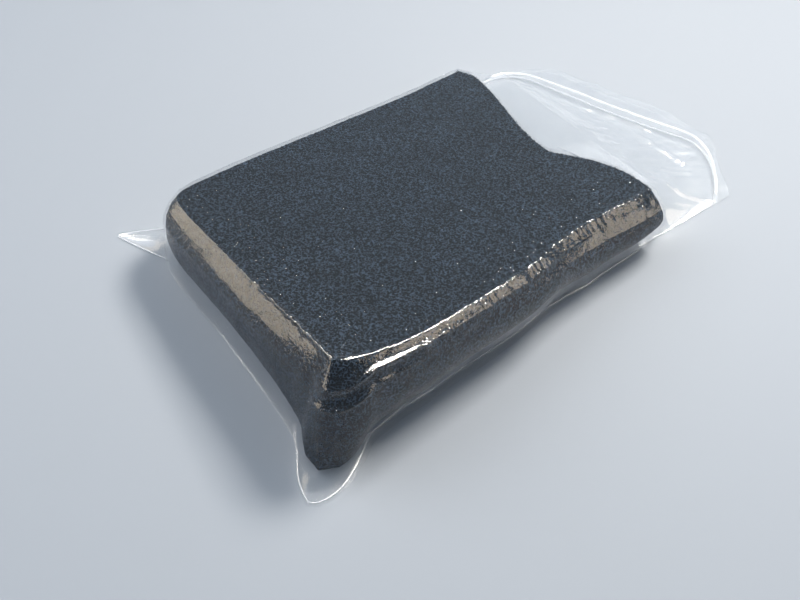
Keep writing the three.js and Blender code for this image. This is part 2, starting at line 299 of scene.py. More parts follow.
def outline(counts):
    """The top edge as a line of plan points, the outward direction at each, and its place."""
    line, place = [], []
    for number, (side, after, count) in enumerate(zip(SIDES, SIDES[1:] + (MOUTH_EDGE,), counts)):
        line.append(spline(side + after[:1], count + 1)[:-1])
        place.append(number + np.arange(count) / count)
    line = np.vstack(line + [MOUTH_EDGE[:1]])
    place = np.concatenate(place + [[float(len(SIDES))]])
    tangent = evened(np.gradient(line, axis=0), 14)
    outward = np.stack([tangent[:, 1], -tangent[:, 0]], axis=1)
    centre = line.mean(axis=0)
    outward *= np.sign(np.sum(outward * (line - centre), axis=1).mean())
    outward /= np.linalg.norm(outward, axis=1, keepdims=True)
    return line, outward, place


def profiles_at(place):
    """The (outwards, share of the height) pairs at each place, mixed between those of the table."""
    at = [p for p, _ in PROFILES]
    values = np.array([[TOP_CREASE] + pairs for _, pairs in PROFILES], float)
    result = np.zeros((len(place),) + values.shape[1:])
    for level in range(values.shape[1]):
        for k in range(2):
            result[:, level, k] = np.interp(place, at, values[:, level, k])
    return evened(result, 3)


def through_levels(levels, creases, steps):
    """Rows of points between the levels, smooth at all but the creases, and the level of each row."""
    count = levels.shape[0]
    rows, number = [], []
    for i in range(count - 1):
        b, c = levels[i], levels[i + 1]
        a = levels[i - 1] if i > 0 and i not in creases else 2 * b - c
        d = levels[i + 2] if i + 2 < count and i + 1 not in creases else 2 * c - b
        even = np.linspace(0, 1, steps[i], endpoint=False)
        for t in (1 - np.cos(np.pi * even)) / 2:
            rows.append(catmull_rom(a, b, c, d, t))
            number.append(i + t)
    rows.append(levels[-1])
    number.append(count - 1)
    return np.array(rows), np.array(number)


def levels_of(line, outward, pairs, margin, foot):
    """One row of points for each level of the profiles, out from the line by a margin."""
    height = top_height(line[:, 0], line[:, 1]) + margin
    return [
        np.column_stack([line + outward * (pairs[:, k, :1] + margin),
                         foot + (height - foot) * pairs[:, k, 1]])
        for k in range(pairs.shape[1])
    ]


def foam_skirt(counts, margin, foot):
    """The pad's sides as closed rings, from its top edge to its foot, and the points on each side."""
    line, outward, place = outline(counts)
    pairs = profiles_at(place)
    pairs[:, :, 0] -= np.interp(place, *zip(*TUCK_AT))[:, None] * np.array(TUCK)
    line, outward, pairs = (rows[::FOAM_THINNING] for rows in (line, outward, pairs))
    inset = line + outward * margin
    round_sides = np.array(levels_of(line, outward, pairs, margin, foot))
    round_sides[0, :, :2] = inset
    count = counts[1] // FOAM_THINNING
    cut = spline([tuple(inset[-1])] + MOUTH_EDGE[1:-1] + [tuple(inset[0])], count + 1)
    tangent = np.gradient(cut, axis=0)
    facing = np.stack([-tangent[:, 1], tangent[:, 0]], axis=1)
    facing *= np.sign(facing[:, 0].mean())
    facing /= np.linalg.norm(facing, axis=1, keepdims=True)
    mouth_pairs = np.broadcast_to(np.array(MOUTH_PROFILE, float), (count + 1, len(MOUTH_PROFILE), 2))
    mouth = np.array(levels_of(cut, facing, mouth_pairs, 0.0, foot))
    mouth[:, :, 2] += margin * np.array(MOUTH_PROFILE)[:, None, 1]
    t = np.linspace(0, 1, count + 1)[None, :, None]
    blend_in = smooth(t * CUT_BLEND) * smooth((1 - t) * CUT_BLEND)
    first, last = round_sides[:, -1:], round_sides[:, :1]
    corners = np.where(t < 0.5, first + (mouth - mouth[:, :1]), last + (mouth - mouth[:, -1:]))
    mouth = mouth * blend_in + (1 - blend_in) * corners
    levels = np.concatenate([round_sides, mouth[:, 1:-1]], axis=1)
    rows, _ = through_levels(levels, (), FOAM_STEPS)
    return rows, tuple(side // FOAM_THINNING for side in counts) + (count,)


def film_skirt(counts, margin, foot):
    """The film from inside the top edge down to the floor, round the front, the closed end and the back."""
    line, outward, place = outline(counts)
    pairs = profiles_at(place)
    waist = pairs.shape[1] - 2
    tip = np.zeros((len(place), 3))
    for middle, width, reach in EARS:
        near = np.clip(1 - np.abs(place - middle) / width, 0, 1)[:, None]
        pairs[:, waist, 1:] -= EAR_WAIST_DIP * near
        tip += np.array(reach) * near ** EAR_TAPER
    levels = []
    for out in INSIDE:
        inner = line + outward * out
        levels.append(np.column_stack([inner, top_height(inner[:, 0], inner[:, 1]) + margin]))
    levels += levels_of(line, outward, pairs, margin, foot)
    levels[-1] += tip
    levels[-2] += EAR_WAIST_REACH * tip
    rows, number = through_levels(np.array(levels), CREASES, FILM_STEPS)
    return rows, number, place


def grid_normals(grid):
    """Unit normals of a grid of points, upwards or outwards."""
    across = np.gradient(grid, axis=0)
    along = np.gradient(grid, axis=1)
    normal = np.cross(along, across)
    normal /= np.maximum(np.linalg.norm(normal, axis=2, keepdims=True), 1e-9)
    return normal * np.sign(normal[:2, :, 2].mean())


def patch(front, closed, back, mouth):
    """A Coons patch between four border lines: rows from front to back, columns from mouth to closed end."""
    s = np.linspace(0, 1, len(front))[None, :, None]
    t = np.linspace(0, 1, len(closed))[:, None, None]
    along = (1 - t) * front[None] + t * back[::-1][None]
    across = (1 - s) * mouth[::-1][:, None] + s * closed[:, None]
    corners = ((1 - t) * (1 - s) * front[0] + (1 - t) * s * front[-1]
               + t * (1 - s) * back[-1] + t * s * back[0])
    return along + across - corners


def ring_sides(ring, counts):
    """A closed ring cut into its four sides, each with both its corners."""
    marks = np.concatenate([[0], np.cumsum(counts)])
    closed = np.vstack([ring, ring[:1]])
    return [closed[marks[i]:marks[i + 1] + 1] for i in range(4)]


class Ops:
    """Names of the operators, in the order in which they run."""
    order = []


def listed(cls):
    Ops.order.append(cls)
    return cls


# ---------------------------------------------------------------- materials

def new_material(name):
    made = bpy.data.materials.new(name)
    made.use_nodes = True
    made.node_tree.nodes.clear()
    return made, made.node_tree


def node(tree, kind, values=None, **settings):
    """A new node of a tree, with its settings first and then the values on its sockets."""
    made = tree.nodes.new(kind)
    for name, setting in settings.items():
        setattr(made, name, setting)
    for socket, value in (values or {}).items():
        made.inputs[socket].default_value = value
    return made


def node_group(name, kind, inputs, outputs):
    """A new node group with named sockets, and its input and output nodes."""
    tree = bpy.data.node_groups.new(name, kind)
    for in_out, sockets in (("INPUT", inputs), ("OUTPUT", outputs)):
        for socket, value_kind in sockets:
            tree.interface.new_socket(socket, in_out=in_out, socket_type="NodeSocket" + value_kind)
    return tree, tree.nodes.new("NodeGroupInput"), tree.nodes.new("NodeGroupOutput")


def span(low, high, first, last):
    """Values of a Map Range node that turns low to high into first to last."""
    return {"From Min": low, "From Max": high, "To Min": first, "To Max": last}


def cell_network_group():
    """Open-cell foam as a pattern: light struts between cells of painted shade, some struts darkened by
    painted shade as if deep in the foam, and patches.
    """
    name = "Open cell network"
    if name in bpy.data.node_groups:
        return bpy.data.node_groups[name]
    tree, into, out = node_group(
        name, "ShaderNodeTree", (("Vector", "Vector"), ("Cell size", "Float")),
        (("Strut", "Float"), ("Height", "Float"), ("Patches", "Float")))
    link = tree.links.new
    scale = node(tree, "ShaderNodeMath", {0: 1.0}, operation="DIVIDE")
    link(into.outputs["Cell size"], scale.inputs[1])
    warp = node(tree, "ShaderNodeTexNoise", {"Scale": 260.0})
    link(into.outputs["Vector"], warp.inputs["Vector"])
    bend = node(tree, "ShaderNodeVectorMath", {1: (0.0011, 0.0011, 0.0011)}, operation="MULTIPLY_ADD")
    link(warp.outputs["Color"], bend.inputs[0])
    link(into.outputs["Vector"], bend.inputs[2])

    cells = node(tree, "ShaderNodeTexVoronoi", feature="DISTANCE_TO_EDGE")
    link(bend.outputs[0], cells.inputs["Vector"])
    link(scale.outputs[0], cells.inputs["Scale"])
    strut = node(tree, "ShaderNodeMapRange", span(0.03, 0.18, 1.0, 0.0), interpolation_type="SMOOTHSTEP")
    link(cells.outputs["Distance"], strut.inputs["Value"])

    # Painted shade: where this noise is low the struts are darkened, as if lost in the depth out of the
    # light; the same mask also gives the height.
    depth = node(tree, "ShaderNodeTexNoise", {"Scale": 420.0, "Detail": 2.0})
    link(into.outputs["Vector"], depth.inputs["Vector"])
    lift = node(tree, "ShaderNodeMapRange", span(0.42, 0.60, 0.0, 1.7))
    link(depth.outputs["Fac"], lift.inputs["Value"])
    strut_mask_with_depth_shade = node(tree, "ShaderNodeMath", operation="MULTIPLY")
    link(strut.outputs["Result"], strut_mask_with_depth_shade.inputs[0])
    link(lift.outputs["Result"], strut_mask_with_depth_shade.inputs[1])

    patches = node(tree, "ShaderNodeTexNoise", {"Scale": 22.0, "Detail": 3.0})
    link(into.outputs["Vector"], patches.inputs["Vector"])

    link(strut_mask_with_depth_shade.outputs[0], out.inputs["Strut"])
    link(strut_mask_with_depth_shade.outputs[0], out.inputs["Height"])
    link(patches.outputs["Fac"], out.inputs["Patches"])
    return tree


def foam_material(sizes):
    made, tree = new_material("reticulated_foam")
    link = tree.links.new
    coords = node(tree, "ShaderNodeTexCoord")
    cells = node(tree, "ShaderNodeGroup", {"Cell size": sizes.cell}, node_tree=cell_network_group())
    link(coords.outputs["Object"], cells.inputs["Vector"])

    # The foam's colour mixes from painted shade in the open cells, near black, to the struts' own colour.
    colour = node(tree, "ShaderNodeMix", {"A": (*sizes.pore_shade_colour, 1), "B": (*sizes.colour, 1)},
                  data_type="RGBA")
    link(cells.outputs["Strut"], colour.inputs["Factor"])
    shade = node(tree, "ShaderNodeMapRange", span(0.3, 0.7, 0.82, 1.2))
    link(cells.outputs["Patches"], shade.inputs["Value"])
    tint = node(tree, "ShaderNodeVectorMath", operation="SCALE")
    link(colour.outputs["Result"], tint.inputs[0])
    link(shade.outputs["Result"], tint.inputs["Scale"])

    bump = node(tree, "ShaderNodeBump", {"Strength": 0.9, "Distance": 0.0012})
    link(cells.outputs["Height"], bump.inputs["Height"])

    surface = node(tree, "ShaderNodeBsdfPrincipled", {"Roughness": 0.62, "Specular IOR Level": 0.0})
    link(tint.outputs[0], surface.inputs["Base Color"])
    link(bump.outputs["Normal"], surface.inputs["Normal"])
    out = node(tree, "ShaderNodeOutputMaterial")
    link(surface.outputs[0], out.inputs["Surface"])
    return made


def film_ripple_group():
    """Fine and broad unevenness of thin film, as a height, and how milky the film is from place to place."""
    name = "Film ripple"
    if name in bpy.data.node_groups:
        return bpy.data.node_groups[name]
    tree, into, out = node_group(
        name, "ShaderNodeTree", (("Vector", "Vector"),), (("Height", "Float"), ("Milk", "Float")))
    link = tree.links.new
    fine = node(tree, "ShaderNodeTexNoise", {"Scale": 150.0, "Detail": 2.0})
    link(into.outputs["Vector"], fine.inputs["Vector"])
    broad = node(tree, "ShaderNodeTexNoise", {"Scale": 24.0, "Detail": 1.0})
    link(into.outputs["Vector"], broad.inputs["Vector"])
    both = node(tree, "ShaderNodeMath", {1: 3.0}, operation="MULTIPLY_ADD")
    link(broad.outputs["Fac"], both.inputs[0])
    link(fine.outputs["Fac"], both.inputs[2])
    milk = node(tree, "ShaderNodeMapRange", span(0.35, 0.7, 0.7, 1.4))
    link(broad.outputs["Fac"], milk.inputs["Value"])
    link(both.outputs[0], out.inputs["Height"])
    link(milk.outputs["Result"], out.inputs["Milk"])
    return tree


FILM_INDEX = 1.58  # refractive index, which sets how strong the gloss is


def film_material(name, colour, haze, edge_haze, bump_strength, roughness, grain=0.0):
    """Clear film: what is behind shows through, under a little haze and a film's own mirror gloss."""
    made, tree = new_material(name)
    link = tree.links.new
    coords = node(tree, "ShaderNodeTexCoord")
    ripple = node(tree, "ShaderNodeGroup", node_tree=film_ripple_group())
    link(coords.outputs["Object"], ripple.inputs["Vector"])
    bump = node(tree, "ShaderNodeBump", {"Strength": bump_strength, "Distance": 0.0004})
    height = ripple.outputs["Height"]
    if grain:
        cell = bpy.context.scene.bag_foam.cell
        cells = node(tree, "ShaderNodeGroup", {"Cell size": cell}, node_tree=cell_network_group())
        link(coords.outputs["Object"], cells.inputs["Vector"])
        pressed = node(tree, "ShaderNodeMath", {1: grain}, operation="MULTIPLY_ADD")
        link(cells.outputs["Height"], pressed.inputs[0])
        link(height, pressed.inputs[2])
        height = pressed.outputs[0]
    link(height, bump.inputs["Height"])

    clear = node(tree, "ShaderNodeBsdfTransparent")
    milky = node(tree, "ShaderNodeBsdfPrincipled", {"Base Color": (*colour, 1), "Roughness": 0.35})
    link(bump.outputs["Normal"], milky.inputs["Normal"])
    edge = node(tree, "ShaderNodeLayerWeight", {"Blend": 0.28})
    veil = node(tree, "ShaderNodeMath", {1: edge_haze, 2: haze}, operation="MULTIPLY_ADD", use_clamp=True)
    link(edge.outputs["Facing"], veil.inputs[0])
    body = node(tree, "ShaderNodeMixShader")
    link(veil.outputs[0], body.inputs[0])
    link(clear.outputs[0], body.inputs[1])
    link(milky.outputs[0], body.inputs[2])

    mirror = node(tree, "ShaderNodeBsdfPrincipled",
                  {"Base Color": (0.95, 0.96, 0.98, 1), "Metallic": 1.0, "Roughness": roughness})
    link(bump.outputs["Normal"], mirror.inputs["Normal"])
    angle = node(tree, "ShaderNodeFresnel")
    link(bump.outputs["Normal"], angle.inputs["Normal"])
    side = node(tree, "ShaderNodeNewGeometry")
    index = node(tree, "ShaderNodeMapRange", {"To Min": FILM_INDEX, "To Max": 1 / FILM_INDEX})
    link(side.outputs["Backfacing"], index.inputs["Value"])
    link(index.outputs["Result"], angle.inputs["IOR"])
    surface = node(tree, "ShaderNodeMixShader")
    link(angle.outputs[0], surface.inputs[0])
    link(body.outputs[0], surface.inputs[1])
    link(mirror.outputs[0], surface.inputs[2])
    out = node(tree, "ShaderNodeOutputMaterial")
    link(surface.outputs[0], out.inputs["Surface"])
    return made


MATERIALS = {}


def material(name):
    """One of the object's materials, made once."""
    scene = bpy.context.scene
    film = scene.bag_film
    milky, clearer = (0.93, 0.95, 0.98), (0.95, 0.97, 1.0)
    makers = {
        "foam": lambda: foam_material(scene.bag_foam),
        "film": lambda: film_material("clear_film", film.colour, film.haze, 0.05, 0.45, 0.13, grain=0.3),
        "loose_film": lambda: film_material("loose_film", film.colour, film.haze * 6, 0.20, 0.3, 0.18),
        "weld": lambda: film_material("welded_film", milky, 0.24, 0.3, 0.2, 0.25),
        "zip": lambda: film_material("zip_profile", clearer, 0.18, 0.3, 0.1, 0.2),
    }
    if name not in MATERIALS:
        MATERIALS[name] = makers[name]()
    return MATERIALS[name]


# ---------------------------------------------------------------- the stage

CAMERA_AT = (-415.9, -482.7, 673.0)  # in the drawing's millimetres
CAMERA_YAW, CAMERA_PITCH, CAMERA_ROLL = 40.48, 49.34, 1.8
CAMERA_LENS = 47.2
LIT_POINT = (0, 0, 50)  # where every lamp points
FLOOR_REACH = 6  # half the floor's side in metres
# Lamps: name, direction, distance, size, colour, share of the key's power, and whether it lights
# everything or is a card that only shows as a gloss.
LAMPS = (
    ("key", (0.55, -0.05, 0.83), 1.5, (0.55, 0.40), (1.0, 0.97, 0.92), 1.0, True),
    ("crease_card", (0.55, -0.12, 0.83), 1.45, (0.70, 0.50), (1.0, 0.95, 0.84), 3.6, False),
    ("warm_front", (0.50, -0.84, 0.44), 1.5, (1.3, 0.9), (1.0, 0.85, 0.66), 0.6, False),
    ("warm_side", (-0.78, 0.60, 0.14), 1.5, (1.7, 0.9), (1.0, 0.86, 0.66), 0.75, False),
    ("side_card", (-0.12, 0.54, 0.82), 1.45, (0.5, 0.4), (1.0, 0.93, 0.80), 1.0, False),
    ("corner_card", (0.20, -0.22, 0.95), 1.45, (0.5, 0.4), (1.0, 0.95, 0.86), 2.2, False),
    ("fill", (-0.5, 0.6, 0.8), 2.2, (1.6, 1.6), (0.93, 0.96, 1.0), 0.9, True),
)


@listed
class BAGFILTER_OT_stage(bpy.types.Operator):
    """Floor, lamps and camera"""
    bl_idname = "bagfilter.stage"
    bl_label = "Stage"

    def execute(self, context):
        scene = context.scene
        sizes = scene.bag_stage
        camera = bpy.data.objects.new("camera", bpy.data.cameras.new("camera"))
        camera.data.lens = CAMERA_LENS
        camera.data.sensor_width = 36
        camera.data.clip_start = 0.01
        camera.location = plan(*CAMERA_AT)
        turn = (Matrix.Rotation(math.radians(-CAMERA_YAW), 4, "Z")
                @ Matrix.Rotation(math.radians(90 - CAMERA_PITCH), 4, "X")
                @ Matrix.Rotation(math.radians(CAMERA_ROLL), 4, "Z"))
        camera.rotation_euler = turn.to_euler()
        scene.collection.objects.link(camera)
        scene.camera = camera

        r = FLOOR_REACH
        floor = mesh_object("floor", [(-r, -r, 0), (r, -r, 0), (r, r, 0), (-r, r, 0)], [(0, 1, 2, 3)],
                            self.floor_material(sizes), False)
        floor.location.z = -0.0002

        for name, direction, distance, size, colour, share, lights_all in LAMPS:
            self.lamp(name, direction, distance, size, colour, sizes.key_power * share, lights_all)
        world = bpy.data.worlds.new("studio")
        world.use_nodes = True
        world.node_tree.nodes["Background"].inputs["Color"].default_value = (0.58, 0.72, 0.88, 1)
        world.node_tree.nodes["Background"].inputs["Strength"].default_value = 0.42
        scene.world = world
        scene.view_settings.view_transform = "Standard"
        return {"FINISHED"}

    @staticmethod
    def floor_material(sizes):
        made, tree = new_material("floor")
        surface = node(tree, "ShaderNodeBsdfPrincipled",
                       {"Base Color": (*sizes.floor, 1), "Roughness": 0.85, "Specular IOR Level": 0.0})
        out = node(tree, "ShaderNodeOutputMaterial")
        tree.links.new(surface.outputs[0], out.inputs["Surface"])
        return made

    @staticmethod
    def lamp(name, direction, distance, size, colour, power, lights_all):
        light = bpy.data.lights.new(name, "AREA")
        light.shape = "RECTANGLE"
        light.size, light.size_y = size
        light.color = colour
        light.energy = power
        lamp = bpy.data.objects.new(name, light)
        away = Vector(direction).normalized()
        lamp.location = Vector(plan(*LIT_POINT)) + away * distance
        lamp.rotation_euler = away.to_track_quat("Z", "Y").to_euler()
        lamp.visible_diffuse = lights_all
        bpy.context.scene.collection.objects.link(lamp)


# ---------------------------------------------------------------- the foam

FILM_SIDES = (228, 144, 228)  # columns of the film along the front, the closed end and the back


def pad_shape():
    """The pad's closed body: its sides, its top and its base."""
    rings, sides = foam_skirt(FILM_SIDES, -1.3, 1.5)
    steps, count = rings.shape[:2]
    top = patch(*ring_sides(rings[0], sides))
    base = patch(*ring_sides(rings[-1], sides))
    points = np.vstack([rings.reshape(-1, 3), top.reshape(-1, 3), base.reshape(-1, 3)])
    faces = [
        (i * count + j, (i + 1) * count + j, (i + 1) * count + (j + 1) % count, i * count + (j + 1) % count)
        for i in range(steps - 1) for j in range(count)
    ]
    faces += grid_faces(top.shape[0], top.shape[1], steps * count)
    faces += grid_faces(base.shape[0], base.shape[1], steps * count + top.shape[0] * top.shape[1])
    return weld_and_turn_out(mesh_object("foam_shape", placed(points), faces, None), 1e-5)


@listed
class BAGFILTER_OT_foam(bpy.types.Operator):
    """The reticulated foam pad, with its open cells at the surface"""
    bl_idname = "bagfilter.foam"
    bl_label = "Foam pad"

    def execute(self, context):
        sizes = context.scene.bag_foam
        pad = pad_shape()
        remesh = pad.modifiers.new("even", "REMESH")
        remesh.mode = "VOXEL"
        remesh.voxel_size = sizes.grain * 1.0
        applied(pad)
        pad.name = "foam_pad"
        self.open_cells(pad, sizes)
        pad.data.materials.clear()
        pad.data.materials.append(material("foam"))
        pad.data.polygons.foreach_set("use_smooth", [True] * len(pad.data.polygons))
        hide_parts("foam_element")
        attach(pad, "bag")
        return {"FINISHED"}

    @staticmethod
    def open_cells(pad, sizes):
        """Pushes the surface in where a cell opens, so that the outline is rough too."""
        mesh = pad.data
        count = len(mesh.vertices)
        co = np.zeros(count * 3, np.float32)
        mesh.vertices.foreach_get("co", co)
        co = co.reshape(-1, 3).astype(float)
        normal = np.zeros(count * 3, np.float32)
        mesh.vertex_normals.foreach_get("vector", normal)
        normal = normal.reshape(-1, 3)
        depth = np.zeros(count)
        cell = sizes.cell
        for i in range(count):
            p = co[i] / cell
            depth[i] = noise.cell(Vector(p)) * 0.35 + noise.noise(Vector(p * 0.9)) * 0.65
        depth = np.clip(0.5 + depth * 0.6, 0, 1)
        co -= normal * (depth * sizes.roughness_depth)[:, None]
        co[:, 2] = np.maximum(co[:, 2], 0.0006)
        mesh.vertices.foreach_set("co", co.astype(np.float32).ravel())
        mesh.update()


def strut_group():
    """Thin rods scattered over a surface at random turns, joined and given a material."""
    tree, into, out = node_group(
        "Cut struts", "GeometryNodeTree",
        (("Geometry", "Geometry"), ("Per square metre", "Float"), ("Length", "Float"),
         ("Thickness", "Float"), ("Seed", "Int"), ("Material", "Material")),
        (("Geometry", "Geometry"),))
    link = tree.links.new
    points = node(tree, "GeometryNodeDistributePointsOnFaces")
    link(into.outputs["Geometry"], points.inputs["Mesh"])
    link(into.outputs["Per square metre"], points.inputs["Density"])
    link(into.outputs["Seed"], points.inputs["Seed"])
    rod = node(tree, "GeometryNodeMeshCylinder", {"Vertices": 3})
    link(into.outputs["Thickness"], rod.inputs["Radius"])
    link(into.outputs["Length"], rod.inputs["Depth"])
    turn = node(tree, "FunctionNodeRandomValue", {"Max": (math.pi, math.pi, math.tau)},
                data_type="FLOAT_VECTOR")
    link(into.outputs["Seed"], turn.inputs["Seed"])
    size = node(tree, "FunctionNodeRandomValue", {2: 0.5, 3: 1.3})  # the least and the most, as numbers
    link(into.outputs["Seed"], size.inputs["Seed"])
    rods = node(tree, "GeometryNodeInstanceOnPoints")
    link(points.outputs["Points"], rods.inputs["Points"])
    link(rod.outputs["Mesh"], rods.inputs["Instance"])
    link(turn.outputs[0], rods.inputs["Rotation"])
    link(size.outputs[1], rods.inputs["Scale"])
    real = node(tree, "GeometryNodeRealizeInstances")
    link(rods.outputs[0], real.inputs[0])
    look = node(tree, "GeometryNodeSetMaterial")
    link(real.outputs[0], look.inputs["Geometry"])
    link(into.outputs["Material"], look.inputs["Material"])
    link(look.outputs[0], out.inputs[0])
    return tree


# Rows of the strip that the struts stand on, as (outwards in x, up) in mm from the pad's cut top edge.
CUT_STRIP = ((-2.5, -1.5), (-0.3, -1.8), (0.0, -5.0), (0.3, -10.0), (0.5, -16.0))
CUT_LENGTH, CUT_DEPTH = 290, 17.6  # about the strip's size in mm, which turns a count into a density


@listed
class BAGFILTER_OT_struts(bpy.types.Operator):
    """The cut strut ends that stand out along the S-shaped end of the pad"""
    bl_idname = "bagfilter.struts"
    bl_label = "Cut struts"

    def execute(self, context):
        sizes = context.scene.bag_foam
        line = spline(MOUTH_EDGE, 200)
        strip = np.array([np.column_stack([line + [out, 0], top_height(line[:, 0], line[:, 1]) + up])
                          for out, up in CUT_STRIP])
        area = CUT_LENGTH * CUT_DEPTH * MM * MM
        faces = grid_faces(*strip.shape[:2])
        fuzz = mesh_object("cut_struts", placed(strip.reshape(-1, 3)), faces, None)
        tree = strut_group()
        made = fuzz.modifiers.new("struts", "NODES")
        made.node_group = tree
        values = {"Per square metre": sizes.strut_count / area, "Length": sizes.cell * 1.1,
                  "Thickness": sizes.cell * 0.06, "Seed": 7, "Material": material("foam")}
        for item in tree.interface.items_tree:
            if item.in_out == "INPUT" and item.name in values:
                made[item.identifier] = values[item.name]
        applied(fuzz)
        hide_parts("foam_element")
        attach(fuzz, "bag")
        return {"FINISHED"}


# ---------------------------------------------------------------- the film over the pad

FILM_MARGIN, FILM_FOOT = 0.3, 1.2  # the film's distance outside the drawn shape and its foot's height, in mm
# Height of the raised line along each crease, as (place, mm).
CREASE_HEIGHT = (
    [(0.0, 0.6), (0.35, 0.6), (0.6, 0.7), (0.95, 0.8), (1.1, 1.5), (1.3, 1.1), (1.6, 0.35), (1.9, 0.1),
     (2.1, 0), (3.0, 0.2)],
    [(0.0, 0.5), (0.3, 0.4), (0.7, 0.3), (0.80, 0.8), (0.86, 1.7), (0.97, 2.2), (0.99, 1.4), (1.005, 0),
     (3.0, 0)],
    [(0.0, 0), (0.82, 0), (0.88, 0.9), (0.95, 1.7), (0.99, 2.0), (1.02, 0.2), (1.1, 0), (3.0, 0)],
)
CREASE_WIDTH = 1.7
CREASE_ZIGZAG = 2.2  # how far a crease strays up and down the film, in mm
BUNCHES = ((1, 0.46, 0.035), (0.5, 0.62, 0.02))  # gathered film at the front: strength, place, half width
RIPPLE_STEP, RIPPLE_REACH = 2.6, 9.0  # the ripples across the top crease: spacing and length in mm
UNEVENNESS = ((0.55, 26.0, 41), (0.22, 9.0, 42))  # height in mm, size in mm and seed
FLAT_FROM, FLAT_OVER = 8.6, 1.4  # the film is smooth again near its foot: first level, and over how many
LIFT_OVER = 1.6  # levels inside the top edge over which the crumpling begins


def crumpled(grid, number, place):
    """The film's grid with raised creases, short ripples across them and a slow unevenness."""
    normal = grid_normals(grid)
    step = np.linalg.norm(np.diff(grid, axis=0), axis=2)
    down = np.vstack([np.zeros((1, grid.shape[1])), np.cumsum(step, axis=0)])
    along = lengths_along(grid[0])
    along_only = np.column_stack([along, along * 0, along * 0])
    s = np.broadcast_to(along, down.shape)
    fade = 1 - smooth((number - FLAT_FROM) / FLAT_OVER)[:, None]
    across = np.gradient(grid, axis=0) * np.array([1, 1, 0])
    across /= np.maximum(np.linalg.norm(across, axis=2, keepdims=True), 1e-9)
    lift, shift = np.zeros(down.shape), np.zeros(down.shape)
    for k, level in enumerate(CREASES):
        row = int(np.argmin(np.abs(number - level)))
        off = down - down[row]
        jitter = waves(along_only, 8.0, 20 + k, 2)
        height = np.interp(place, *zip(*CREASE_HEIGHT[k]))
        lift += height * np.exp(-((off + 1.3 * jitter) / CREASE_WIDTH) ** 2)
        shift += CREASE_ZIGZAG * jitter * np.minimum(height, 1.0) * np.exp(-((off - 1) / 3.5) ** 2)
        if level == CREASES[0]:
            patches = smooth(waves(along_only, 30.0, 31) * 2.2 + 0.35)
            bunch = sum(strength * np.exp(-((place - at) / width) ** 2) for strength, at, width in BUNCHES)
            amount = (0.18 + 0.45 * patches + 1.5 * bunch) * (place < 1.02)
            line = np.stack([s / RIPPLE_STEP, (off - 4) / RIPPLE_REACH, np.zeros_like(s)], axis=2)
            ripple = waves(line.reshape(-1, 3), 1.0, 33).reshape(s.shape)
            lift += amount * ripple * np.exp(-((off - 5) / RIPPLE_REACH) ** 2)
    points = grid.reshape(-1, 3)
    for height, size, seed in UNEVENNESS:
        lift += height * waves(points, size, seed).reshape(s.shape) * fade
    begin = smooth(number / LIFT_OVER)[:, None]
    return grid + normal * (lift * fade * begin)[:, :, None] + across * (shift * begin)[:, :, None]


def film_grid():
    grid, number, place = film_skirt(FILM_SIDES, FILM_MARGIN, FILM_FOOT)
    return crumpled(grid, number, place), number, place


def mouth_top_line(first, last, count):
    """The film's line over the S-shaped cut, from one point of the skirt to the other."""
    inner = sorted((p for p in MOUTH_EDGE if first[1] + 6 < p[1] < last[1] - 6), key=lambda p: p[1])
    line = spline([tuple(first[:2])] + inner + [tuple(last[:2])], count)
    z = top_height(line[:, 0], line[:, 1]) + FILM_MARGIN
    z[0], z[-1] = first[2], last[2]
    return np.column_stack([line, z])


@listed
class BAGFILTER_OT_film_over(bpy.types.Operator):
    """The film over the pad: its top, its long sides and its closed end"""
    bl_idname = "bagfilter.film_over"
    bl_label = "Film over the pad"

    def execute(self, context):
        grid, number, place = film_grid()
        n = FILM_SIDES
        top_ring = grid[0]
        front, closed, back = top_ring[:n[0] + 1], top_ring[n[0]:n[0] + n[1] + 1], top_ring[n[0] + n[1]:]
        mouth = mouth_top_line(front[0], back[-1], n[1] + 1)[::-1]
        top = patch(front, closed, back, mouth)
        across, down = (np.linspace(0, 1, k) for k in top.shape[1::-1])
        across, down = (smooth(8 * np.minimum(t, 1 - t)) for t in (across, down))
        inner = across[None, :] * down[:, None]
        top[:, :, 2] += inner * 0.5 * waves(top.reshape(-1, 3), 60.0, 9).reshape(inner.shape)
        rows, columns = grid.shape[:2]
        points = np.vstack([grid.reshape(-1, 3), top.reshape(-1, 3)])
        faces = grid_faces(rows, columns) + grid_faces(top.shape[0], top.shape[1], rows * columns)
        film = mesh_object("film_over_pad", placed(points), faces, material("film"))
        face_up(weld_and_turn_out(film, 1e-5))
        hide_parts("bag_upper_film", "bag_end_film")
        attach(film, "bag")
        return {"FINISHED"}


# ---------------------------------------------------------------- the mouth

ZIP_LINE = [(262, -132), (275, -122), (289, -109), (302, -93), (309, -79), (312, -64), (309, -51),
            (303, -37), (291, -8), (279, 25), (271, 52), (262, 80), (253, 106), (245, 118), (234, 127),
            (222, 131), (212, 131)]
LIP_LINE = [(281, -134), (292, -120), (299, -108), (309, -95), (323, -79), (327, -68), (324, -53),
            (322, -36), (320, -18), (315, 0), (308, 18), (302, 34), (296, 58), (288, 80), (285, 95),
            (273, 107), (259, 118), (240, 128), (218, 136)]
